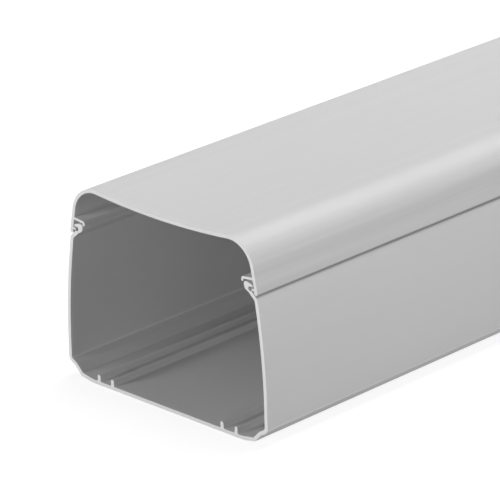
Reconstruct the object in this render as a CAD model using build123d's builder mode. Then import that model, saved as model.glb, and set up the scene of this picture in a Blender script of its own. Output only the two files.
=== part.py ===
from build123d import *
import os
from math import atan2, cos, degrees, radians, sin

# Line set cover duct, lying on the floor of its trough. It is two extruded pieces: a trough that
# is fastened to the building, and a cover whose beads snap into the trough's curled edges.
# Millimetres. The length runs along Y, and the origin is under the middle of the duct.

# Overall sizes
length = 2000.0
width = 140.0
trough_height = 84.7
cover_height = 26.7

# Trough: its wall, and the bow that leans each side inwards towards its head
trough_wall = 2.0
belly_height = 18.0
side_lean = 4.9

# Trough: stepped bottom corner. Insets are from the widest point, rises from the floor
floor_margin = 17.0
heel_inset = 9.2
heel_rise = 1.4
step_inset = 5.3
step_rise = 5.6
ledge_rise = 8.1
margin_bend_radius = 6.0
heel_radius = 1.4
step_radius = 2.0
ledge_radius = 2.6

# Trough: a pair of ribs near each edge of the flat floor
rib_thickness = 2.0
rib_height = 3.6
rib_edge_distance = 4.6
rib_pitch = 9.7
rib_root_radius = 0.7

# Trough: curled edge on its inclined web, level at its inner top corner and tapered towards the
# web, and the mouth that takes the cover's bead. Pairs are offsets from the middle of the curl
web_run = 4.8
web_rise = 5.1
web_drop = 0.8
curl_radius = 3.1
curl_reach = 2.8
curl_tip_rise = 2.2
curl_corner_radius = 1.2
curl_tip_radius = 0.9
curl_bend_radius = 2.2
curl_seam_radius = 0.3
curl_crest = (-0.8, 3.1)
curl_back = (-3.1, 0.6)
curl_under = (-2.4, -0.9)
curl_root = (0.0, -2.1)
mouth_radius = 1.1
mouth_offset = 1.0
mouth_drop = 0.1

# Cover: wall, rounded shoulders and the shallow dish of its top
cover_wall = 1.8
shoulder_radius = 16.0
side_flare = 11.0
top_dish = 2.3

# Cover: thickened lip, snap bead, and the finger that reaches over the curled edge
lip_radius = 1.1
bead_radius = 0.6
bead_engagement = 0.8
finger_wall = 1.3
finger_climb = 2.25
finger_droop = 0.8
finger_bite = 0.5
finger_knee_radius = 0.7

# Clearances between cover and trough, and how far the lip hangs below the bead's own gap
snap_gap = 0.3
side_gap = 0.6
lip_drop = 0.6

# Middle line of the trough's wall on its right side, from the floor to the head of the side
half_width = width / 2
trough_skin = trough_wall / 2
floor_centre = (0, trough_skin)
floor_edge = (half_width - floor_margin, trough_skin)
heel = (half_width - heel_inset, trough_skin + heel_rise)
step = (half_width - step_inset, trough_skin + step_rise)
ledge = (half_width - trough_skin, trough_skin + ledge_rise)
belly = (half_width - trough_skin, belly_height)
corner_radii = (margin_bend_radius, heel_radius, step_radius, ledge_radius)

curl_x = half_width - trough_skin - side_lean - web_run
curl_z = trough_height - curl_radius
head = (curl_x + web_run, curl_z - web_rise)
web_end = (curl_x, curl_z - web_drop)

# Outline of the curl, from its inner top corner over the tip and back below the mouth
curl_outline = (
    (curl_x - curl_radius, curl_z + curl_radius),
    (curl_x + curl_crest[0], curl_z + curl_crest[1]),
    (curl_x + curl_reach, curl_z + curl_tip_rise),
    (curl_x + curl_reach, curl_z - mouth_drop),
    (curl_x + curl_root[0], curl_z + curl_root[1]),
    (curl_x + curl_under[0], curl_z + curl_under[1]),
    (curl_x + curl_back[0], curl_z + curl_back[1]),
)
curl_radii = (
    curl_corner_radius,
    curl_bend_radius,
    curl_tip_radius,
    curl_seam_radius,
    curl_seam_radius,
    curl_bend_radius,
    curl_bend_radius,
)

mouth_x = curl_x + mouth_offset
mouth_z = curl_z - mouth_drop
mouth_length = 2 * curl_radius

outer_rib_x = half_width - floor_margin - rib_edge_distance
rib_places = (outer_rib_x, outer_rib_x - rib_pitch)
rib_top = trough_wall + rib_height
rib_root_tolerance = 0.001

# The bead lies low in the mouth, and its tip stands inside the edge of the curl above it
bead_z = mouth_z - mouth_radius + snap_gap + bead_radius
curl_edge_x = curl_x + curl_reach
bead_x = curl_edge_x - bead_engagement + bead_radius

# Middle line of the cover's side: a straight line past the curl, leaning by the flare
flare = radians(side_flare)
cover_skin = cover_wall / 2
side_offset = curl_radius + side_gap + cover_skin


def side_x(height):
    """X of the middle of the cover's right side at a height."""
    return curl_x + (side_offset - (height - curl_z) * sin(flare)) / cos(flare)


lip_z = bead_z - bead_radius - snap_gap - lip_drop
lip_x = side_x(lip_z) - (lip_radius - cover_skin) / cos(flare)
cover_top = lip_z - lip_radius + cover_height
bead_length = side_x(bead_z) - bead_x

# Shoulder and dish are two arcs that touch, and the side line meets the shoulder at the flare
shoulder_arc = shoulder_radius - cover_skin
shoulder_z = cover_top - shoulder_radius
side_top_z = shoulder_z + shoulder_arc * sin(flare)
shoulder_x = side_x(side_top_z) - shoulder_arc * cos(flare)
dish_floor = shoulder_arc - top_dish
dish_arc = (shoulder_x**2 + dish_floor**2 - shoulder_arc**2) / (2 * top_dish)
dish_z = shoulder_z + dish_floor + dish_arc
dish_turn = degrees(atan2(shoulder_x, dish_z - shoulder_z))
shoulder_turn = 90 + dish_turn - side_flare

# The finger leaves the side above the curl and turns down just inside it
finger_root_z = trough_height + finger_climb
finger_root = (side_x(finger_root_z), finger_root_z)
finger_x = curl_x - curl_radius - snap_gap - finger_wall / 2
finger_knee = (finger_x, finger_root_z - finger_droop)
finger_tip = (finger_x, trough_height - finger_bite + finger_wall / 2)


def is_rib_root(edge):
    """Whether an edge along the duct is where a rib rises from the floor."""
    middle = edge.center()
    on_floor = abs(middle.Z - trough_wall) < rib_root_tolerance
    return on_floor and any(abs(abs(middle.X) - rib_x) < rib_thickness for rib_x in rib_places)


with BuildPart() as duct_trough:
    with BuildSketch(Plane.XZ) as trough_section:
        with BuildLine():
            FilletPolyline(floor_centre, floor_edge, heel, step, ledge, belly, radius=corner_radii)
            TangentArc(belly, head, tangent=(0, 1))
            Line(head, web_end)
            mirror(about=Plane.YZ)
            offset(amount=trough_skin)
        make_face()
        with BuildLine():
            FilletPolyline(*curl_outline, radius=curl_radii, close=True)
        make_face()
        mirror(about=Plane.YZ)
        for rib_x in rib_places:
            with Locations((rib_x, rib_top / 2), (-rib_x, rib_top / 2)):
                SlotOverall(rib_top, rib_thickness, rotation=90)
        with Locations((mouth_x + mouth_length / 2, mouth_z), (-mouth_x - mouth_length / 2, mouth_z)):
            SlotCenterToCenter(mouth_length, 2 * mouth_radius, mode=Mode.SUBTRACT)
    extrude(amount=length / 2, both=True)
    fillet(duct_trough.edges().filter_by(Axis.Y).filter_by(is_rib_root), radius=rib_root_radius)
duct_trough.part.label = "duct_trough"

with BuildPart() as duct_cover:
    with BuildSketch(Plane.XZ) as cover_section:
        with BuildLine():
            CenterArc((0, dish_z), dish_arc, 270, dish_turn)
            CenterArc((shoulder_x, shoulder_z), shoulder_arc, side_flare, shoulder_turn)
            Line((side_x(side_top_z), side_top_z), (side_x(lip_z), lip_z))
            mirror(about=Plane.YZ)
            offset(amount=cover_skin)
        make_face()
        with BuildLine():
            FilletPolyline(finger_root, finger_knee, finger_tip, radius=finger_knee_radius)
            offset(amount=finger_wall / 2)
        make_face()
        with Locations((lip_x, lip_z)):
            Circle(lip_radius)
        with Locations((bead_x + bead_length / 2, bead_z)):
            SlotCenterToCenter(bead_length, 2 * bead_radius)
        mirror(about=Plane.YZ)
    extrude(amount=length / 2, both=True)
duct_cover.part.label = "duct_cover"

os.makedirs("parts", exist_ok=True)
export_step(duct_trough.part, "parts/duct_trough.step")
export_step(duct_cover.part, "parts/duct_cover.step")
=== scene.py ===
"""Looks of a straight length of line set cover duct: an extruded trough and its clip-on cover.

Metres. The duct lies along Y on its flat underside, and the end at -Y is the one in the photo.
Each section is drawn in the XZ plane on its right half, mirrored, and drawn out along the duct.
"""

import logging
from dataclasses import dataclass
from enum import Enum
from math import atan2, cos, pi, radians, sin, tan

import bmesh
import bpy
from mathutils import Matrix, Vector

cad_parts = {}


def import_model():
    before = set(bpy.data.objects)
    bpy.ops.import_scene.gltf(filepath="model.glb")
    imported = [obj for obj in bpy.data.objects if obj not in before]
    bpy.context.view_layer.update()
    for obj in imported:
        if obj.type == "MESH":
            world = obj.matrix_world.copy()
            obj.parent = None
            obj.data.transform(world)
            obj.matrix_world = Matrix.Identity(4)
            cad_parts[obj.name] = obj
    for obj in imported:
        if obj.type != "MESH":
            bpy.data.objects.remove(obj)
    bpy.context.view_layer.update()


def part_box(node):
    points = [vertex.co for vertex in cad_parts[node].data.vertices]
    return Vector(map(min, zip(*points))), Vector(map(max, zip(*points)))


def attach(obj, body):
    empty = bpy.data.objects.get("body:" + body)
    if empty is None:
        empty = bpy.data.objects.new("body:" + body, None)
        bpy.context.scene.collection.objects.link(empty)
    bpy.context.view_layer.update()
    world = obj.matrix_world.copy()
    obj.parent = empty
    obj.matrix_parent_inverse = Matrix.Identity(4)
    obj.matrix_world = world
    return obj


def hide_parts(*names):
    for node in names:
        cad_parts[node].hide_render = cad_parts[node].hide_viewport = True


Point = tuple[float, float]
Span = tuple[float, float]
Corner = tuple[float, float, float]
Place = tuple[float, float, float]
Scale = tuple[float, float, float]
Colour = tuple[float, float, float, float]
Value = bpy.types.NodeSocket | float | Scale | Colour
Element = bmesh.types.BMVert | bmesh.types.BMEdge | bmesh.types.BMFace

log = logging.getLogger("line_set_duct")

PHOTO_WIDTH_PX = 500
SENSOR_MM = 36.0
WHITE = (1.0, 1.0, 1.0, 1.0)

MERGE_DISTANCE = 1e-6
LEVEL_TOLERANCE = 2e-5
FLAT_ANGLE = radians(0.05)
SHARP_ANGLE = radians(32)

# How much longer than the duct every form is drawn at each end, before both ends are sawn
SAW_ALLOWANCE = 0.004

# Edges in each curve. The corners of a bar are rounded by a little less than half its width, so
# that two of them never meet
BOW_STEPS = 14
SHOULDER_STEPS = 28
BEND_STEPS = 6
CURL_STEPS = 8
ROD_STEPS = 32
TIP_STEPS = 16
ROOT_STEPS = 4
BREAK_STEPS = 2
ROUND_EDGE_SHARE = 0.49

# Material slot that leaves a rounding with the skin beside it
KEEP_SKIN = -1


class Weld(Enum):
    """How one extruded form is joined to another."""

    JOIN = "UNION"
    CUT = "DIFFERENCE"


class DuctEnd(Enum):
    """The two sawn ends, by the way that each one faces along the duct."""

    NEAR = -1.0
    FAR = 1.0


class Skin(Enum):
    """Material slots of an extruded piece."""

    DRAWN = 0
    SAWN = 1


class Rounded(Enum):
    """What a rounding takes off."""

    CORNERS = "VERTICES"
    EDGES = "EDGES"


class Mixed(Enum):
    """What a mix node mixes."""

    NUMBERS = "FLOAT"
    COLOURS = "RGBA"


class WallLine:
    """The middle line of an extruded wall, drawn in the XZ plane one vertex at a time."""

    def __init__(self, start: Point, station: float) -> None:
        """Starts the line.

        Args:
            start: X and Z of its first point.
            station: Y of the plane that it is drawn in.
        """
        self.mesh = bmesh.new()
        self.tip = self.mesh.verts.new((start[0], station, start[1]))

    def line_to(self, end: Point) -> bmesh.types.BMVert:
        """Draws a straight run to a point.

        Args:
            end: X and Z of the point.

        Returns:
            The vertex at the point.
        """
        made = bmesh.ops.extrude_vert_indiv(self.mesh, verts=[self.tip])
        self.tip = made["verts"][0]
        target = Vector((end[0], self.tip.co.y, end[1]))
        bmesh.ops.translate(self.mesh, verts=[self.tip], vec=target - self.tip.co)
        return self.tip

    def arc_about(self, centre: Point, turn: float, steps: int) -> bmesh.types.BMVert:
        """Draws an arc, turning from +X towards +Z where the turn is positive.

        Args:
            centre: X and Z of the arc's centre.
            turn: Its angle in radians.
            steps: How many edges it has.

        Returns:
            The vertex at its end.
        """
        made = bmesh.ops.spin(
            self.mesh,
            geom=[self.tip],
            cent=(centre[0], self.tip.co.y, centre[1]),
            axis=(0, -1, 0),
            dvec=(0, 0, 0),
            angle=turn,
            steps=steps,
            use_merge=False,
            use_normal_flip=False,
            use_duplicate=False,
        )
        self.tip = made["geom_last"][0]
        return self.tip

    def round(self, corner: bmesh.types.BMVert, radius: float) -> None:
        """Rounds one corner of the line.

        Args:
            corner: The vertex at the corner.
            radius: Radius of the middle line there.
        """
        round_corner(self.mesh, corner, radius, BEND_STEPS)

    def extrude_wall(self, name: str, thickness: float, length: float) -> bpy.types.Object:
        """Mirrors the line, draws it out along the duct and gives it its thickness.

        Args:
            name: Name of the new object.
            thickness: Wall thickness, half of it on each side of the line.
            length: How far the wall runs along +Y.

        Returns:
            The closed wall.
        """
        mirror_across(self.mesh)
        made = bmesh.ops.extrude_edge_only(self.mesh, edges=self.mesh.edges[:])
        slide_along(self.mesh, made["geom"], length)
        bmesh.ops.recalc_face_normals(self.mesh, faces=self.mesh.faces[:])
        sheet = object_from(name + "_sheet", self.mesh)
        skin = sheet.modifiers.new("wall", "SOLIDIFY")
        skin.thickness = thickness
        skin.offset = 0
        skin.use_even_offset = True
        return settle(sheet, name)


class Rods:
    """Closed rods that run along the duct: beads, ribs, lips and the mouths cut for them."""

    def __init__(self, station: float, length: float) -> None:
        """Starts an empty set.

        Args:
            station: Y of the rods' near ends.
            length: Their length along +Y.
        """
        self.mesh = bmesh.new()
        self.station = station
        self.length = length

    def draw_out(self, face: bmesh.types.BMFace) -> None:
        """Draws one face out into a closed rod.

        Args:
            face: The rod's near end.
        """
        made = bmesh.ops.extrude_face_region(self.mesh, geom=[face])
        slide_along(self.mesh, made["geom"], self.length)

    def section_at(self, centre: Point) -> Matrix:
        """Turns a flat form into the section's plane.

        Args:
            centre: X and Z of the form's middle.

        Returns:
            The matrix that takes it there.
        """
        place = Matrix.Translation((centre[0], self.station, centre[1]))
        return place @ Matrix.Rotation(pi / 2, 4, "X")

    def round_rod(self, centre: Point, radius: float, segments: int = ROD_STEPS) -> None:
        """Adds a round rod.

        Args:
            centre: X and Z of its axis.
            radius: Its radius.
            segments: How many sides it has.
        """
        made = bmesh.ops.create_circle(
            self.mesh,
            cap_ends=True,
            segments=segments,
            radius=radius,
            matrix=self.section_at(centre),
        )
        self.draw_out(made["verts"][0].link_faces[0])

    def outlined_rod(self, corners: list[Corner]) -> None:
        """Adds a rod of any outline.

        Args:
            corners: X, Z and rounding radius of each corner, in order.
        """
        verts = [self.mesh.verts.new((x, self.station, z)) for x, z, _ in corners]
        face = self.mesh.faces.new(verts)
        for vert, (_, _, radius) in zip(verts, corners):
            face = round_corner(self.mesh, vert, radius, CURL_STEPS).link_faces[0]
        self.draw_out(face)

    def round_edged_bar(self, centre: Point, width: float, height: float) -> None:
        """Adds a bar whose two narrow edges are fully round.

        Args:
            centre: X and Z of its middle.
            width: Its size along X.
            height: Its size along Z.
        """
        stretch = Matrix.Diagonal((width, height, 1, 1))
        made = bmesh.ops.create_grid(
            self.mesh,
            x_segments=1,
            y_segments=1,
            size=0.5,
            matrix=self.section_at(centre) @ stretch,
        )
        radius = min(width, height) * ROUND_EDGE_SHARE
        corner = round_off(self.mesh, made["verts"], radius, BEND_STEPS, Rounded.CORNERS)
        self.draw_out(corner.link_faces[0])

    def finish(self, name: str) -> bpy.types.Object:
        """Mirrors the rods across the duct and makes them an object.

        Args:
            name: Name of the new object.

        Returns:
            The rods of both sides.
        """
        mirror_across(self.mesh)
        bmesh.ops.recalc_face_normals(self.mesh, faces=self.mesh.faces[:])
        return object_from(name, self.mesh)


def everything(mesh: bmesh.types.BMesh) -> list[Element]:
    """Lists all that a mesh is made of.

    Args:
        mesh: The mesh.

    Returns:
        Its vertices, edges and faces.
    """
    return mesh.verts[:] + mesh.edges[:] + mesh.faces[:]


def mirror_across(mesh: bmesh.types.BMesh) -> None:
    """Adds a mesh's mirror image across the duct, joined where the two touch.

    Args:
        mesh: The mesh, on the right of the duct's middle.
    """
    bmesh.ops.mirror(
        mesh,
        geom=everything(mesh),
        matrix=Matrix.Identity(4),
        merge_dist=MERGE_DISTANCE,
        axis="X",
    )


def slide_along(mesh: bmesh.types.BMesh, parts: list[Element], distance: float) -> None:
    """Moves what an extrusion has just made along the duct.

    Args:
        mesh: The mesh.
        parts: What the extrusion made.
        distance: How far it moves along +Y.
    """
    moved = [part for part in parts if isinstance(part, bmesh.types.BMVert)]
    bmesh.ops.translate(mesh, verts=moved, vec=(0, distance, 0))


def round_off(
    mesh: bmesh.types.BMesh,
    parts: list[Element],
    offset: float,
    segments: int,
    what: Rounded,
    skin: int = KEEP_SKIN,
    clamp: bool = False,
) -> bmesh.types.BMVert:
    """Rounds corners or edges.

    Args:
        mesh: The mesh.
        parts: The corners or edges.
        offset: How far from them the rounding starts.
        segments: How many edges it has.
        what: Whether they are corners or edges.
        skin: Material slot of the rounding, or the one beside it.
        clamp: Whether roundings that would meet are made smaller.

    Returns:
        A vertex of the rounding.
    """
    made = bmesh.ops.bevel(
        mesh,
        geom=parts,
        offset=offset,
        offset_type="OFFSET",
        segments=segments,
        profile=0.5,
        affect=what.value,
        clamp_overlap=clamp,
        material=skin,
    )
    return made["verts"][0]


def round_corner(
    mesh: bmesh.types.BMesh, corner: bmesh.types.BMVert, radius: float, segments: int
) -> bmesh.types.BMVert:
    """Rounds a corner where two edges meet.

    Args:
        mesh: The mesh.
        corner: The vertex at the corner.
        radius: Radius of the rounding.
        segments: How many edges it has.

    Returns:
        A vertex of the rounding.
    """
    before, after = (edge.other_vert(corner).co - corner.co for edge in corner.link_edges)
    offset = radius * tan((pi - before.angle(after)) / 2)
    return round_off(mesh, [corner], offset, segments, Rounded.CORNERS)


def in_scene(name: str, data: bpy.types.ID) -> bpy.types.Object:
    """Puts an object into the scene.

    Args:
        name: Its name.
        data: Its mesh, camera or light.

    Returns:
        The object.
    """
    made = bpy.data.objects.new(name, data)
    bpy.context.scene.collection.objects.link(made)
    return made


def object_from(name: str, mesh: bmesh.types.BMesh) -> bpy.types.Object:
    """Puts a bmesh into the scene and frees it.

    Args:
        name: Name of the object and its mesh.
        mesh: The bmesh.

    Returns:
        The new object.
    """
    data = bpy.data.meshes.new(name)
    mesh.to_mesh(data)
    mesh.free()
    return in_scene(name, data)


def settle(source: bpy.types.Object, name: str) -> bpy.types.Object:
    """Applies an object's modifiers.

    Args:
        source: The object, which is removed.
        name: Name of the object that takes its place.

    Returns:
        An object with the finished mesh and no modifiers.
    """
    graph = bpy.context.evaluated_depsgraph_get()
    data = bpy.data.meshes.new_from_object(source.evaluated_get(graph))
    data.name = name
    bpy.data.objects.remove(source)
    return in_scene(name, data)


def aimed(location: Place, looks_at: Place) -> Matrix:
    """Turns a camera or lamp towards a place.

    Args:
        location: Where it stands.
        looks_at: The place.

    Returns:
        The matrix that puts it there.
    """
    aim = Vector(looks_at) - Vector(location)
    return Matrix.Translation(location) @ aim.to_track_quat("-Z", "Y").to_matrix().to_4x4()


def flat_grey(level: float) -> Colour:
    """Makes an even grey.

    Args:
        level: How light it is.

    Returns:
        The colour.
    """
    return level, level, level, 1.0


def weld(base: bpy.types.Object, tool: bpy.types.Object, how: Weld) -> bpy.types.Object:
    """Joins one closed form to another, or cuts it out.

    Args:
        base: The form that stays.
        tool: The form that is used up.
        how: Whether it is joined or cut.

    Returns:
        The finished form, under the base's name.
    """
    step = base.modifiers.new(how.name.lower(), "BOOLEAN")
    step.operation = how.value
    step.solver = "EXACT"
    step.use_self = True
    step.object = tool
    made = settle(base, base.name)
    bpy.data.objects.remove(tool)
    return made


@dataclass(frozen=True)
class Extrusion:
    """What the trough and the cover share: how they are drawn out, sawn and finished."""

    node: str
    length: float
    shading_stations: int = 20
    edge_break: float = 0.00012

    @property
    def rough_start(self) -> float:
        """Y where the extrusion starts before it is sawn to length."""
        return -self.length / 2 - SAW_ALLOWANCE

    @property
    def rough_length(self) -> float:
        """Its length before it is sawn."""
        return self.length + 2 * SAW_ALLOWANCE

    def rods(self, overhang: float = 0.0) -> Rods:
        """Starts a set of rods for the rough extrusion.

        Args:
            overhang: How far they stand out at each of its ends.

        Returns:
            The empty set.
        """
        return Rods(self.rough_start - overhang, self.rough_length + 2 * overhang)

    def saw(self, mesh: bmesh.types.BMesh, end: DuctEnd) -> None:
        """Cuts the extrusion square and closes the cut.

        Args:
            mesh: The whole extrusion.
            end: Which end is cut.
        """
        bmesh.ops.bisect_plane(
            mesh,
            geom=everything(mesh),
            dist=MERGE_DISTANCE,
            plane_co=(0, end.value * self.length / 2, 0),
            plane_no=(0, end.value, 0),
            clear_outer=True,
        )
        rim = [edge for edge in mesh.edges if edge.is_boundary]
        made = bmesh.ops.holes_fill(mesh, edges=rim, sides=0)
        for face in made["faces"]:
            face.material_index = Skin.SAWN.value

    def break_sawn_edges(self, mesh: bmesh.types.BMesh) -> None:
        """Takes the sharpness off the edges of both cuts.

        Args:
            mesh: The extrusion, sawn at both ends.
        """
        edges = [
            edge
            for edge in mesh.edges
            if any(face.material_index == Skin.SAWN.value for face in edge.link_faces)
        ]
        round_off(
            mesh,
            edges,
            self.edge_break,
            BREAK_STEPS,
            Rounded.EDGES,
            skin=Skin.SAWN.value,
            clamp=True,
        )

    def add_stations(self, mesh: bmesh.types.BMesh) -> None:
        """Divides the long faces, so that their shading stays even along the duct.

        Args:
            mesh: The extrusion, sawn at both ends.
        """
        for step in range(1, self.shading_stations):
            station = self.length * (step / self.shading_stations - 0.5)
            bmesh.ops.bisect_plane(
                mesh,
                geom=everything(mesh),
                dist=MERGE_DISTANCE,
                plane_co=(0, station, 0),
                plane_no=(0, 1, 0),
            )

    def finish(self, rough: bpy.types.Object) -> bpy.types.Object:
        """Saws the extrusion to length and readies it for its finish.

        Args:
            rough: The welded form, longer than the duct.

        Returns:
            The finished piece, riding on the duct's body and standing for its node.
        """
        mesh = bmesh.new()
        mesh.from_mesh(rough.data)
        bmesh.ops.remove_doubles(mesh, verts=mesh.verts[:], dist=MERGE_DISTANCE)
        bmesh.ops.dissolve_limit(
            mesh,
            angle_limit=FLAT_ANGLE,
            verts=mesh.verts[:],
            edges=mesh.edges[:],
        )
        for face in mesh.faces:
            face.material_index = Skin.DRAWN.value
        for end in DuctEnd:
            self.saw(mesh, end)
        self.break_sawn_edges(mesh)
        self.add_stations(mesh)
        bmesh.ops.recalc_face_normals(mesh, faces=mesh.faces[:])
        for face in mesh.faces:
            face.smooth = True
        bpy.data.objects.remove(rough)
        piece = object_from(self.node + "_drawn", mesh)
        piece.data.set_sharp_from_angle(angle=SHARP_ANGLE)
        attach(piece, "root")
        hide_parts(self.node)
        return piece


@dataclass(frozen=True)
class Curl:
    """The trough's rolled edge: where it is, and what the cover has to clear.

    crest, back, under and root are corners of its outline, as offsets from its middle.
    """

    half_width: float
    trough_height: float
    wall: float = 0.0020
    side_lean: float = 0.0049
    web_run: float = 0.0048
    web_rise: float = 0.0051
    web_drop: float = 0.0008
    radius: float = 0.0031
    reach: float = 0.0028
    tip_rise: float = 0.0022
    corner_radius: float = 0.0012
    tip_radius: float = 0.0009
    bend_radius: float = 0.0022
    seam_radius: float = 0.0003
    crest: Point = (-0.0008, 0.0031)
    back: Point = (-0.0031, 0.0006)
    under: Point = (-0.0024, -0.0009)
    root: Point = (0.0, -0.0021)
    mouth_radius: float = 0.0011
    mouth_offset: float = 0.0010
    mouth_drop: float = 0.0001

    @property
    def centre(self) -> Point:
        """X and Z of the middle of the curl."""
        inset = self.wall / 2 + self.side_lean + self.web_run
        return self.half_width - inset, self.trough_height - self.radius

    @property
    def head(self) -> Point:
        """X and Z of the head of the side, where the web leaves it."""
        return self.centre[0] + self.web_run, self.centre[1] - self.web_rise

    @property
    def mouth(self) -> Point:
        """X and Z of the round end of the mouth."""
        return self.centre[0] + self.mouth_offset, self.centre[1] - self.mouth_drop

    @property
    def corners(self) -> list[Corner]:
        """Outline of the curl, from its inner top corner over the tip and back below the mouth."""
        offsets = (
            (-self.radius, self.radius, self.corner_radius),
            (*self.crest, self.bend_radius),
            (self.reach, self.tip_rise, self.tip_radius),
            (self.reach, -self.mouth_drop, self.seam_radius),
            (*self.root, self.seam_radius),
            (*self.under, self.bend_radius),
            (*self.back, self.bend_radius),
        )
        middle_x, middle_z = self.centre
        return [(middle_x + x, middle_z + z, radius) for x, z, radius in offsets]


@dataclass(frozen=True, kw_only=True)
class Trough(Extrusion):
    """The channel that is fastened to the building, with its ribs and curled edges."""

    curl: Curl
    belly_height: float = 0.018
    floor_margin: float = 0.017
    heel_inset: float = 0.0092
    heel_rise: float = 0.0014
    step_inset: float = 0.0053
    step_rise: float = 0.0056
    ledge_rise: float = 0.0081
    margin_bend_radius: float = 0.0060
    heel_radius: float = 0.0014
    step_radius: float = 0.0020
    ledge_radius: float = 0.0026
    head_radius: float = 0.0016
    rib_thickness: float = 0.0020
    rib_height: float = 0.0036
    rib_edge_distance: float = 0.0046
    rib_pitch: float = 0.0097
    rib_root_radius: float = 0.0007

    @property
    def rib_places(self) -> tuple[float, float]:
        """X of the two ribs on the right, the outer one first."""
        outer = self.curl.half_width - self.floor_margin - self.rib_edge_distance
        return outer, outer - self.rib_pitch

    def draw_wall(self) -> bpy.types.Object:
        """Draws floor, stepped corners, bowed sides and webs as one wall.

        Returns:
            The wall, longer than the duct.
        """
        wall = self.curl.wall
        middle = wall / 2
        half_width = self.curl.half_width
        side = half_width - middle
        line = WallLine((0, middle), self.rough_start)
        floor_edge = line.line_to((half_width - self.floor_margin, middle))
        heel = line.line_to((half_width - self.heel_inset, middle + self.heel_rise))
        step = line.line_to((half_width - self.step_inset, middle + self.step_rise))
        ledge = line.line_to((side, middle + self.ledge_rise))
        line.line_to((side, self.belly_height))
        head_x, head_z = self.curl.head
        lean, climb = side - head_x, head_z - self.belly_height
        bow_radius = (lean**2 + climb**2) / (2 * lean)
        bow_turn = atan2(climb, bow_radius - lean)
        head = line.arc_about((side - bow_radius, self.belly_height), bow_turn, BOW_STEPS)
        line.line_to((self.curl.centre[0], self.curl.centre[1] - self.curl.web_drop))
        for corner, radius in (
            (floor_edge, self.margin_bend_radius),
            (heel, self.heel_radius),
            (step, self.step_radius),
            (ledge, self.ledge_radius),
            (head, self.head_radius),
        ):
            line.round(corner, radius)
        return line.extrude_wall(self.node, wall, self.rough_length)

    def beside_rib(self, place: float) -> bool:
        """Tells whether a place on the floor is at the side of a rib.

        Args:
            place: How far it is from the duct's middle.

        Returns:
            Whether a rib stands there.
        """
        return any(abs(place - rib) < self.rib_thickness for rib in self.rib_places)

    def flare_rib_roots(self, rough: bpy.types.Object) -> None:
        """Rounds the corners where the ribs rise from the floor.

        Args:
            rough: The welded trough.
        """
        mesh = bmesh.new()
        mesh.from_mesh(rough.data)
        bmesh.ops.remove_doubles(mesh, verts=mesh.verts[:], dist=MERGE_DISTANCE)
        roots = [
            edge
            for edge in mesh.edges
            if all(abs(vert.co.z - self.curl.wall) < LEVEL_TOLERANCE for vert in edge.verts)
            and abs(edge.verts[0].co.y - edge.verts[1].co.y) > self.length
            and self.beside_rib(abs(edge.verts[0].co.x))
        ]
        log.info("rib roots rounded: %d", len(roots))
        round_off(mesh, roots, self.rib_root_radius, ROOT_STEPS, Rounded.EDGES)
        mesh.to_mesh(rough.data)
        mesh.free()

    def build(self) -> bpy.types.Object:
        """Builds the trough.

        Returns:
            The finished trough.
        """
        rough = self.draw_wall()
        rods = self.rods()
        rods.outlined_rod(self.curl.corners)
        foot = self.curl.wall / 2
        rib_top = self.curl.wall + self.rib_height
        for place in self.rib_places:
            centre = (place, (foot + rib_top) / 2)
            rods.round_edged_bar(centre, self.rib_thickness, rib_top - foot)
        rough = weld(rough, rods.finish("ribs_and_curls"), Weld.JOIN)
        mouth_length = 2 * self.curl.radius
        mouth_x, mouth_z = self.curl.mouth
        mouth_start = mouth_x - self.curl.mouth_radius
        mouths = self.rods(SAW_ALLOWANCE)
        mouths.round_edged_bar(
            (mouth_start + mouth_length / 2, mouth_z),
            mouth_length,
            2 * self.curl.mouth_radius,
        )
        rough = weld(rough, mouths.finish("mouths"), Weld.CUT)
        self.flare_rib_roots(rough)
        return self.finish(rough)


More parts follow.
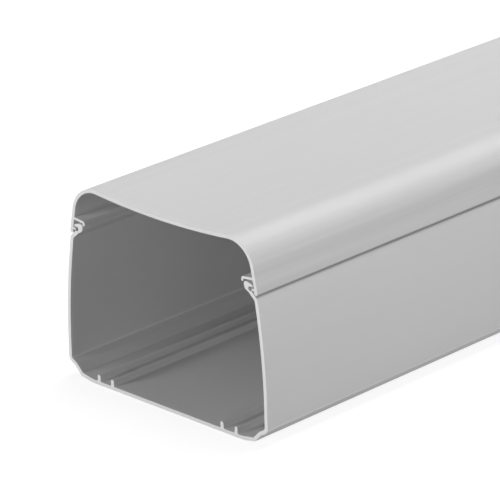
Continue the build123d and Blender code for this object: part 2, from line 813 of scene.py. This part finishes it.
@dataclass(frozen=True, kw_only=True)
class Cover(Extrusion):
    """The cover that clips over the trough's curled edges."""

    curl: Curl
    height: float = 0.0267
    wall: float = 0.0018
    shoulder_radius: float = 0.0160
    side_flare: float = radians(11)
    top_dish: float = 0.0023
    lip_radius: float = 0.0011
    lip_drop: float = 0.0006
    bead_radius: float = 0.0006
    bead_engagement: float = 0.0008
    finger_wall: float = 0.0013
    finger_climb: float = 0.00225
    finger_droop: float = 0.0008
    finger_bite: float = 0.0005
    finger_knee_radius: float = 0.0007
    finger_tip_radius: float = 0.000702
    snap_gap: float = 0.0003
    side_gap: float = 0.0006

    def side_x(self, height: float) -> float:
        """X of the middle of the cover's side.

        Args:
            height: Z where it is asked for.

        Returns:
            Its X on the right.
        """
        offset = self.curl.radius + self.side_gap + self.wall / 2
        fall = (height - self.curl.centre[1]) * sin(self.side_flare)
        return self.curl.centre[0] + (offset - fall) / cos(self.side_flare)

    @property
    def bead_z(self) -> float:
        """Height of the bead, low in the mouth."""
        return self.curl.mouth[1] - self.curl.mouth_radius + self.snap_gap + self.bead_radius

    @property
    def lip_z(self) -> float:
        """Height of the middle of the lip."""
        return self.bead_z - self.bead_radius - self.snap_gap - self.lip_drop

    @property
    def finger_tip(self) -> Point:
        """X and Z of the end of the finger's middle line, just inside the curl."""
        reach = self.curl.radius + self.snap_gap + self.finger_wall / 2
        return (
            self.curl.centre[0] - reach,
            self.curl.trough_height - self.finger_bite + self.finger_wall / 2,
        )

    def draw_wall(self) -> bpy.types.Object:
        """Draws dished top, shoulders and sides as one wall.

        Returns:
            The wall, longer than the duct.
        """
        shoulder = self.shoulder_radius - self.wall / 2
        shoulder_z = self.lip_z - self.lip_radius + self.height - self.shoulder_radius
        side_top = shoulder_z + shoulder * sin(self.side_flare)
        shoulder_x = self.side_x(side_top) - shoulder * cos(self.side_flare)
        dish_floor = shoulder - self.top_dish
        dish = (shoulder_x**2 + dish_floor**2 - shoulder**2) / (2 * self.top_dish)
        dish_z = shoulder_z + dish_floor + dish
        dish_turn = atan2(shoulder_x, dish_z - shoulder_z)
        line = WallLine((0, shoulder_z + dish_floor), self.rough_start)
        shoulder_turn = self.side_flare - dish_turn - pi / 2
        line.arc_about((0, dish_z), dish_turn, BOW_STEPS)
        line.arc_about((shoulder_x, shoulder_z), shoulder_turn, SHOULDER_STEPS)
        line.line_to((self.side_x(self.lip_z), self.lip_z))
        return line.extrude_wall(self.node, self.wall, self.rough_length)

    def draw_finger(self) -> bpy.types.Object:
        """Draws the two fingers that reach over the curled edges.

        Returns:
            Both fingers, longer than the duct.
        """
        root_z = self.curl.trough_height + self.finger_climb
        line = WallLine((self.side_x(root_z), root_z), self.rough_start)
        knee = line.line_to((self.finger_tip[0], root_z - self.finger_droop))
        line.line_to(self.finger_tip)
        line.round(knee, self.finger_knee_radius)
        return line.extrude_wall("fingers", self.finger_wall, self.rough_length)

    def build(self) -> bpy.types.Object:
        """Builds the cover.

        Returns:
            The finished cover.
        """
        rough = weld(self.draw_wall(), self.draw_finger(), Weld.JOIN)
        rods = self.rods(SAW_ALLOWANCE)
        lip_inset = (self.lip_radius - self.wall / 2) / cos(self.side_flare)
        lip_x = self.side_x(self.lip_z) - lip_inset
        rods.round_rod((lip_x, self.lip_z), self.lip_radius)
        rods.round_rod(self.finger_tip, self.finger_tip_radius, TIP_STEPS)
        rough = weld(rough, rods.finish("lips_and_tips"), Weld.JOIN)
        beads = self.rods()
        curl_edge = self.curl.centre[0] + self.curl.reach
        bead_start = curl_edge - self.bead_engagement
        bead_end = self.side_x(self.bead_z)
        beads.round_edged_bar(
            ((bead_start + bead_end) / 2, self.bead_z),
            bead_end - bead_start,
            2 * self.bead_radius,
        )
        rough = weld(rough, beads.finish("beads"), Weld.JOIN)
        return self.finish(rough)


class Wiring:
    """A node tree that is being wired, and the nodes that recur in it."""

    def __init__(self, tree: bpy.types.NodeTree) -> None:
        """Starts on a tree.

        Args:
            tree: The tree that the nodes go into.
        """
        self.tree = tree

    def feed(self, socket: bpy.types.NodeSocket, value: Value) -> None:
        """Gives an input its value.

        Args:
            socket: The input.
            value: Another node's output, or a constant.
        """
        if isinstance(value, bpy.types.NodeSocket):
            self.tree.links.new(value, socket)
        else:
            socket.default_value = value

    def fill(self, node: bpy.types.Node, values: dict[str, Value]) -> None:
        """Gives several inputs of a node their values.

        Args:
            node: The node.
            values: The values, by the inputs' names.
        """
        for name, value in values.items():
            self.feed(node.inputs[name], value)

    def add(self, kind: str, **values: Value) -> bpy.types.Node:
        """Adds a node.

        Args:
            kind: Its type.
            values: Values of inputs whose names are single words.

        Returns:
            The node.
        """
        node = self.tree.nodes.new(kind)
        self.fill(node, values)
        return node

    def place(self) -> bpy.types.NodeSocket:
        """Adds the place of a point in its object's own axes.

        Returns:
            The place, in metres.
        """
        return self.add("ShaderNodeTexCoord").outputs["Object"]

    def math(
        self, operation: str, first: Value, second: Value = 0.0, clamp: bool = False
    ) -> bpy.types.NodeSocket:
        """Adds one step of arithmetic.

        Args:
            operation: What is done.
            first: The first value.
            second: The second value, where the operation has one.
            clamp: Whether the result is kept between 0 and 1.

        Returns:
            The result.
        """
        node = self.add("ShaderNodeMath")
        node.operation = operation
        node.use_clamp = clamp
        self.feed(node.inputs[0], first)
        self.feed(node.inputs[1], second)
        return node.outputs["Value"]

    def mix(
        self, mixed: Mixed, factor: Value, first: Value, second: Value, blend: str = "MIX"
    ) -> bpy.types.NodeSocket:
        """Adds a mix of two values.

        Args:
            mixed: What they are.
            factor: The share of the second.
            first: The first value.
            second: The second value.
            blend: How two colours are mixed.

        Returns:
            The mix.
        """
        node = self.add("ShaderNodeMix")
        node.data_type = mixed.value
        node.blend_type = blend
        self.fill(node, {"Factor": factor, "A": first, "B": second})
        return node.outputs["Result"]

    def streaked(
        self, grey: float, depth: float, streaks: bpy.types.NodeSocket
    ) -> bpy.types.NodeSocket:
        """Adds a grey with streaks.

        Args:
            grey: The grey between the streaks' two.
            depth: How far each of them is from it, as a share.
            streaks: The mask of the streaks.

        Returns:
            The streaked colour.
        """
        darker, lighter = (flat_grey(grey * share) for share in (1 - depth, 1 + depth))
        return self.mix(Mixed.COLOURS, streaks, darker, lighter)

    def remap(
        self, value: Value, taken: Span, given: Span, interpolation: str = "LINEAR"
    ) -> bpy.types.NodeSocket:
        """Adds a step from one range of values to another.

        Args:
            value: The value.
            taken: Limits of the range that it comes from.
            given: Limits of the range that it goes to.
            interpolation: How it runs between the limits.

        Returns:
            The value in the second range.
        """
        node = self.add("ShaderNodeMapRange", Value=value)
        node.interpolation_type = interpolation
        self.fill(node, dict(zip(("From Min", "From Max", "To Min", "To Max"), taken + given)))
        return node.outputs["Result"]


@dataclass(frozen=True)
class Pattern:
    """A shader node group that several finishes share."""

    name: str

    def begin(
        self, inputs: dict[str, float], outputs: tuple[str, ...]
    ) -> tuple[bpy.types.ShaderNodeTree, bpy.types.Node, bpy.types.Node]:
        """Makes the group with its sockets.

        Args:
            inputs: Names and usual values of its number inputs.
            outputs: Names of its number outputs.

        Returns:
            The group, its input node and its output node.
        """
        group = bpy.data.node_groups.new(self.name, "ShaderNodeTree")
        for name, value in inputs.items():
            socket = group.interface.new_socket(name, in_out="INPUT", socket_type="NodeSocketFloat")
            socket.default_value = value
        for name in outputs:
            group.interface.new_socket(name, in_out="OUTPUT", socket_type="NodeSocketFloat")
        return group, group.nodes.new("NodeGroupInput"), group.nodes.new("NodeGroupOutput")


@dataclass(frozen=True)
class Grain:
    """One noise: its cells per metre along each axis of the object, and its detail."""

    scale: Scale
    detail: float

    def build(self, wiring: Wiring) -> bpy.types.NodeSocket:
        """Adds the noise to a node tree.

        Args:
            wiring: The node tree.

        Returns:
            The noise's value.
        """
        stretch = wiring.add("ShaderNodeMapping", Vector=wiring.place(), Scale=self.scale)
        noise = wiring.add(
            "ShaderNodeTexNoise", Vector=stretch.outputs["Vector"], Scale=1.0, Detail=self.detail
        )
        return noise.outputs["Fac"]


@dataclass(frozen=True)
class DieLines(Pattern):
    """Lines that the die leaves along an extrusion, and the slow waves of its wall."""

    name: str = "die_lines"
    fine: Grain = Grain((900.0, 1.3, 900.0), 3.0)
    middle: Grain = Grain((330.0, 4.0, 330.0), 2.0)
    broad: Grain = Grain((90.0, 2.2, 90.0), 2.0)
    middle_share: float = 0.65

    def build(self) -> bpy.types.ShaderNodeTree:
        """Builds the group.

        Returns:
            The group, with a height and a streak mask.
        """
        group, inputs, outputs = self.begin({"Wave Share": 0.5}, ("Height", "Streaks"))
        wiring = Wiring(group)
        fine, middle, broad = (
            grain.build(wiring) for grain in (self.fine, self.middle, self.broad)
        )
        height = wiring.mix(Mixed.NUMBERS, inputs.outputs["Wave Share"], fine, broad)
        streaks = wiring.mix(Mixed.NUMBERS, self.middle_share, broad, middle)
        wiring.fill(outputs, {"Height": height, "Streaks": streaks})
        return group


@dataclass(frozen=True)
class ProfileBand(Pattern):
    """A mask for a band along both sides of an extrusion, by its place in the section."""

    name: str = "profile_band"

    def build(self) -> bpy.types.ShaderNodeTree:
        """Builds the group.

        Returns:
            The group: 1 between two heights and beyond a distance from the middle, soft at its
            limits.
        """
        group, inputs, outputs = self.begin(
            {"Low": 0.0, "High": 1.0, "Outside": 0.0, "Soft": 0.001}, ("Band",)
        )
        low, high, outside, soft = (
            inputs.outputs[name] for name in ("Low", "High", "Outside", "Soft")
        )
        wiring = Wiring(group)
        axes = wiring.add("ShaderNodeSeparateXYZ", Vector=wiring.place())
        height = axes.outputs["Z"]
        aside = wiring.math("ABSOLUTE", axes.outputs["X"])
        band: Value = 1.0
        for larger, smaller in ((height, low), (high, height), (aside, outside)):
            margin = wiring.math("SUBTRACT", larger, smaller)
            share = wiring.math("DIVIDE", margin, soft)
            within = wiring.math("ADD", share, 1.0, clamp=True)
            band = wiring.math("MULTIPLY", within, band)
        wiring.fill(outputs, {"Band": band})
        return group


@dataclass(frozen=True)
class Band:
    """Where one band runs along an extrusion, and how it changes the colour.

    low and high are its limits in height, and outside is the distance from the duct's middle
    beyond which it shows. soft is how far it fades out at each of the three.
    """

    low: float
    high: float
    outside: float
    soft: float
    tone: float
    streak_depth: float = 0.0


@dataclass(frozen=True)
class PlasticFinish:
    """A finish of light grey rigid plastic."""

    name: str
    grey: float
    roughness: float
    specular: float
    streak_depth: float
    bump_height: float
    wave_share: float
    bands: tuple[Band, ...] = ()

    def banded(
        self,
        wiring: Wiring,
        colour: bpy.types.NodeSocket,
        streaks: bpy.types.NodeSocket,
        group: bpy.types.ShaderNodeTree,
    ) -> bpy.types.NodeSocket:
        """Darkens, lightens or streaks the colour in the finish's bands: painted shade, painted
        highlights and streaks.

        Args:
            wiring: The material's node tree.
            colour: The colour without them.
            streaks: The mask of the streaks.
            group: The shared group of bands.

        Returns:
            The colour with them.
        """
        for band in self.bands:
            mask = wiring.add("ShaderNodeGroup")
            mask.node_tree = group
            limits = {"Low": band.low, "High": band.high, "Outside": band.outside}
            wiring.fill(mask, {**limits, "Soft": band.soft})
            tone: Value = flat_grey(band.tone)
            if band.streak_depth:
                tone = wiring.streaked(band.tone, band.streak_depth, streaks)
            colour = wiring.mix(
                Mixed.COLOURS, mask.outputs["Band"], colour, tone, blend="MULTIPLY"
            )
        return colour

    def build(
        self, die_lines: bpy.types.ShaderNodeTree, profile_band: bpy.types.ShaderNodeTree
    ) -> bpy.types.Material:
        """Builds the material.

        Args:
            die_lines: The shared group of lengthwise lines.
            profile_band: The shared group of bands.

        Returns:
            The material.
        """
        material = bpy.data.materials.new(self.name)
        material.use_nodes = True
        wiring = Wiring(material.node_tree)
        lines = wiring.add("ShaderNodeGroup")
        lines.node_tree = die_lines
        wiring.fill(lines, {"Wave Share": self.wave_share})
        streaks = lines.outputs["Streaks"]
        colour = wiring.streaked(self.grey, self.streak_depth, streaks)
        height = lines.outputs["Height"]
        bump = wiring.add("ShaderNodeBump", Strength=1.0, Distance=self.bump_height, Height=height)
        wiring.fill(
            wiring.tree.nodes["Principled BSDF"],
            {
                "Base Color": self.banded(wiring, colour, streaks, profile_band),
                "Roughness": self.roughness,
                "Specular IOR Level": self.specular,
                "Normal": bump.outputs["Normal"],
            },
        )
        return material


# The sawn faces are a lighter grey than the skin: partly the fresh cut's own paler tone, and partly
# painted light in place of more lamp light on the cut ends
SAWN_FINISH = PlasticFinish(
    name="sawn_plastic",
    grey=0.76,
    roughness=0.60,
    specular=0.3,
    streak_depth=0.02,
    bump_height=0.00002,
    wave_share=0.2,
)

# The trough's bands: painted shade under the cover's lip and its soft edge, a painted highlight
# along the bend above the stepped corner, and painted shade on the stepped corner itself
TROUGH_FINISH = PlasticFinish(
    name="trough_satin",
    grey=0.61,
    roughness=0.45,
    specular=0.4,
    streak_depth=0.02,
    bump_height=0.00003,
    wave_share=0.6,
    bands=(
        Band(low=0.0779, high=0.0820, outside=0.0629, soft=0.0004, tone=0.62),
        Band(low=0.0772, high=0.0820, outside=0.0629, soft=0.0014, tone=0.90),
        Band(low=0.0088, high=0.0100, outside=0.0675, soft=0.0003, tone=1.18),
        Band(low=0.0000, high=0.0079, outside=0.0665, soft=0.0004, tone=0.70),
    ),
)

# The cover's bands: painted shade on its lip in the seam, and the stronger streaks of its sides,
# partly die-line tone and partly painted shading of the wall's slow waves
COVER_FINISH = PlasticFinish(
    name="cover_satin",
    grey=0.56,
    roughness=0.50,
    specular=0.4,
    streak_depth=0.045,
    bump_height=0.00003,
    wave_share=0.6,
    bands=(
        Band(low=0.0700, high=0.0790, outside=0.0600, soft=0.0003, tone=0.60),
        Band(
            low=0.0800, high=0.0950, outside=0.0500, soft=0.0040, tone=1.00, streak_depth=0.16
        ),
    ),
)


@dataclass(frozen=True)
class PhotoCamera:
    """The camera that took the photograph, worked out from the duct's edges."""

    focal_px: float = 3904.4
    location: Place = (1.28097, -2.23189, 0.78403)
    looks_at: Place = (-0.02854, -0.90962, 0.05152)
    roll: float = radians(-1.3905)
    clip: Span = (0.1, 100.0)

    def build(self) -> None:
        """Makes the camera and sets it as the scene's."""
        data = bpy.data.cameras.new("photo_camera")
        data.sensor_width = SENSOR_MM
        data.lens = self.focal_px / PHOTO_WIDTH_PX * SENSOR_MM
        data.clip_start, data.clip_end = self.clip
        camera = in_scene("photo_camera", data)
        turn = Matrix.Rotation(self.roll, 4, "Z")
        camera.matrix_world = aimed(self.location, self.looks_at) @ turn
        bpy.context.scene.camera = camera


@dataclass(frozen=True)
class Softbox:
    """One soft studio lamp."""

    name: str
    location: Place
    looks_at: Place
    size: Span
    power: float

    def build(self) -> None:
        """Makes the lamp."""
        data = bpy.data.lights.new(self.name, "AREA")
        data.shape = "RECTANGLE"
        data.size, data.size_y = self.size
        data.energy = self.power
        lamp = in_scene(self.name, data)
        lamp.matrix_world = aimed(self.location, self.looks_at)


NEAR_END = (0.0, -0.8, 0.05)
MIDDLE = (0.0, -0.2, 0.05)
FAR_END = (0.0, 0.8, 0.05)

# Each lamp's name, place, aim, size and power. Those close to the duct stand mostly behind its
# cut, so that little of their light falls into the channel
LAMPS = (
    Softbox("overhead", (0.0, 0.3, 3.2), MIDDLE, (2.4, 2.8), 84.0),
    Softbox("shoulder", (0.35, 0.9, 2.3), NEAR_END, (1.4, 1.4), 19.0),
    Softbox("left", (-5.0, 0.0, 3.0), MIDDLE, (2.0, 2.0), 6.0),
    Softbox("right", (2.1, -0.85, 0.45), NEAR_END, (0.4, 0.4), 15.8),
    Softbox("right_high", (2.3, 0.0, 3.2), MIDDLE, (1.6, 3.0), 5.0),
    Softbox("front_right", (2.6, -5.8, 1.4), NEAR_END, (1.6, 1.2), 70.0),
    Softbox("front_high", (0.8, -5.4, 2.4), NEAR_END, (1.2, 1.0), 6.0),
    Softbox("left_side", (-3.6, 0.4, 0.3), MIDDLE, (1.0, 0.4), 13.0),
    Softbox("far_end", (-1.2, 6.0, 0.4), FAR_END, (1.2, 0.6), 55.0),
    Softbox("front_left", (-1.6, -6.2, 0.7), NEAR_END, (1.6, 1.0), 170.0),
)


@dataclass(frozen=True)
class Studio:
    """Pale floor and white surroundings.

    The floor glows for the camera by near_glow within near_reach of its middle, where the lamps
    add the rest of its white, and by 1 beyond far_reach.
    """

    floor_size: float = 30.0
    floor_grey: float = 0.25
    floor_roughness: float = 0.9
    near_reach: float = 1.0
    far_reach: float = 4.0
    near_glow: float = 0.86
    ambient: float = 0.02

    def seen_directly(self, wiring: Wiring) -> bpy.types.NodeSocket:
        """Adds the mask of rays that see the studio as it looks, apart from how it lights.

        Args:
            wiring: Node tree of the floor or the world.

        Returns:
            A value of 1 for what the camera sees, mirrored or through glass too.
        """
        light_path = wiring.add("ShaderNodeLightPath")
        direct = light_path.outputs["Is Camera Ray"]
        for ray in ("Is Glossy Ray", "Is Transmission Ray"):
            direct = wiring.math("MAXIMUM", direct, light_path.outputs[ray])
        return direct

    def lay_floor(self) -> None:
        """Makes the floor, which keeps the duct's shadow and is white to the camera."""
        mesh = bmesh.new()
        bmesh.ops.create_grid(mesh, x_segments=1, y_segments=1, size=self.floor_size / 2)
        floor = object_from("studio_floor", mesh)
        material = bpy.data.materials.new("studio_floor")
        material.use_nodes = True
        wiring = Wiring(material.node_tree)
        distance = wiring.add("ShaderNodeVectorMath")
        distance.operation = "LENGTH"
        wiring.feed(distance.inputs[0], wiring.place())
        glow = wiring.remap(
            distance.outputs["Value"],
            (self.near_reach, self.far_reach),
            (self.near_glow, 1.0),
            "SMOOTHSTEP",
        )
        seen_glow = wiring.math("MULTIPLY", glow, self.seen_directly(wiring))
        wiring.fill(
            wiring.tree.nodes["Principled BSDF"],
            {
                "Base Color": flat_grey(self.floor_grey),
                "Roughness": self.floor_roughness,
                "Specular IOR Level": 0.0,
                "Emission Color": WHITE,
                "Emission Strength": seen_glow,
            },
        )
        floor.data.materials.append(material)

    def surround(self) -> None:
        """Makes the world: white where it is seen or mirrored, and a low even light elsewhere."""
        world = bpy.data.worlds.new("studio")
        bpy.context.scene.world = world
        world.use_nodes = True
        wiring = Wiring(world.node_tree)
        level = wiring.remap(self.seen_directly(wiring), (0.0, 1.0), (self.ambient, 1.0))
        wiring.fill(wiring.tree.nodes["Background"], {"Color": WHITE, "Strength": level})

    def build(self) -> None:
        """Sets up floor, surroundings and the plain view of their light."""
        bpy.context.scene.view_settings.view_transform = "Standard"
        self.lay_floor()
        self.surround()


def main() -> None:
    """Builds the duct, its finishes and the studio."""
    logging.basicConfig(level=logging.INFO, format="%(name)s: %(message)s")
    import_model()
    trough_low, trough_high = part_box("duct_trough")
    length = trough_high.y - trough_low.y
    curl = Curl(half_width=trough_high.x, trough_height=trough_high.z)
    PhotoCamera().build()
    Studio().build()
    for lamp in LAMPS:
        lamp.build()
    trough = Trough("duct_trough", length, curl=curl).build()
    cover = Cover("duct_cover", length, curl=curl).build()
    lines = DieLines().build()
    band = ProfileBand().build()
    cut = SAWN_FINISH.build(lines, band)
    for piece, finish in ((trough, TROUGH_FINISH), (cover, COVER_FINISH)):
        piece.data.materials.append(finish.build(lines, band))
        piece.data.materials.append(cut)
        log.info("%s: %d faces", piece.name, len(piece.data.polygons))


if __name__ == "__main__":
    main()
